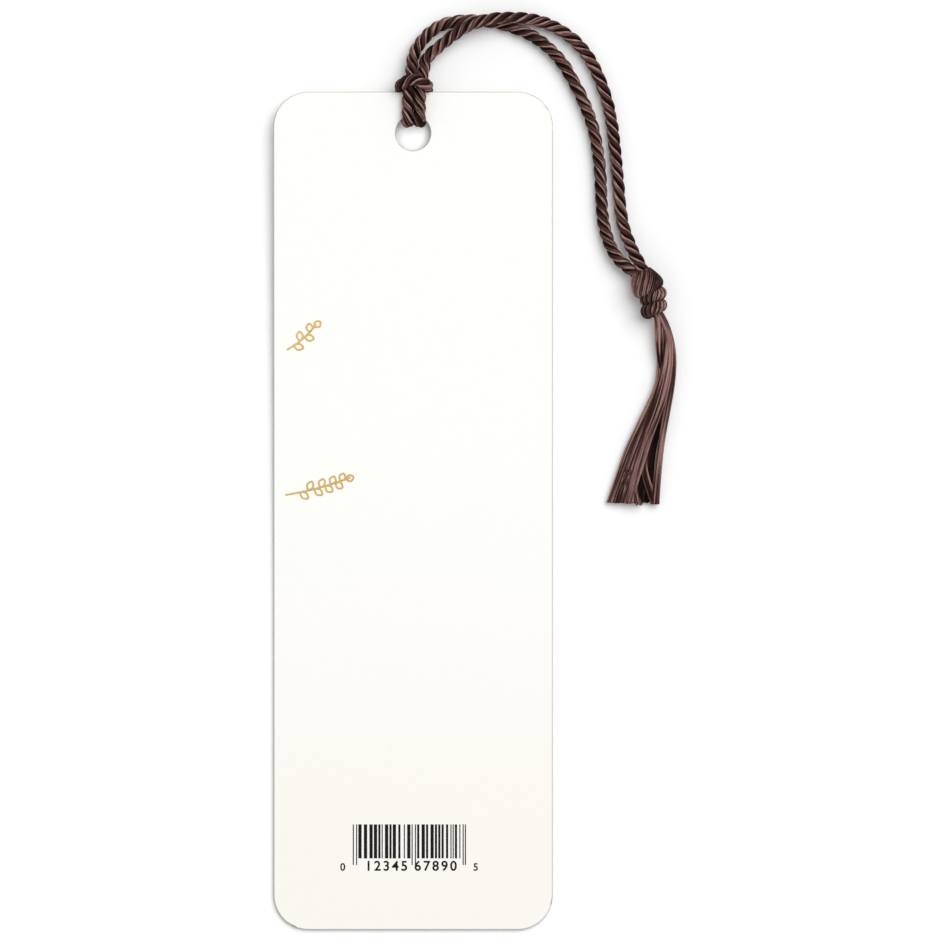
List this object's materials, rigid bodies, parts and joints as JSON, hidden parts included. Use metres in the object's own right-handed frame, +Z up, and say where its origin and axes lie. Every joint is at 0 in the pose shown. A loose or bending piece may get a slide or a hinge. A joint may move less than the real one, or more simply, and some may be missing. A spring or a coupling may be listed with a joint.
{
  "type": "bookmark",
  "caption": "Flat card bookmark with rounded corners and a punched hole, a twisted cord hitched through the hole, and a knotted floss tassel on the cord.",
  "frame": {"origin": "on the table under the middle of the card", "axes": "+Y along the card towards the hole, +X across the card towards the tassel, +Z up from the table"},
  "size_m": [0.0732, 0.167, 0.0056],
  "materials": {
    "card": "coated ivory card",
    "cord": "twisted brown rayon cord",
    "floss": "loose brown rayon floss"
  },
  "bodies": {
    "card": {"card": "card", "hitch_cord": "cord"},
    "tassel": {"inner_leg": "cord", "outer_leg": "cord", "knot_head": "floss", "knot_core": "floss", "knot_winding": "cord"},
    "skirt": {"floss_lock_1": "floss", "floss_lock_2": "floss", "floss_lock_3": "floss", "floss_lock_4": "floss", "floss_lock_5": "floss", "floss_lock_6": "floss", "floss_lock_7": "floss"}
  },
  "joints": [
    {"name": "tassel_flip", "type": "hinge", "parent": "card", "child": "tassel", "pos_m": [0.00072, 0.08039, 0.00205], "axis": [0, -1, 0], "range_deg": [0, 175]},
    {"name": "skirt_swing", "type": "hinge", "parent": "tassel", "child": "skirt", "pos_m": [0.04404, 0.03598, 0.00277], "axis": [0, 0, 1], "range_deg": [-12, 40]}
  ]
}
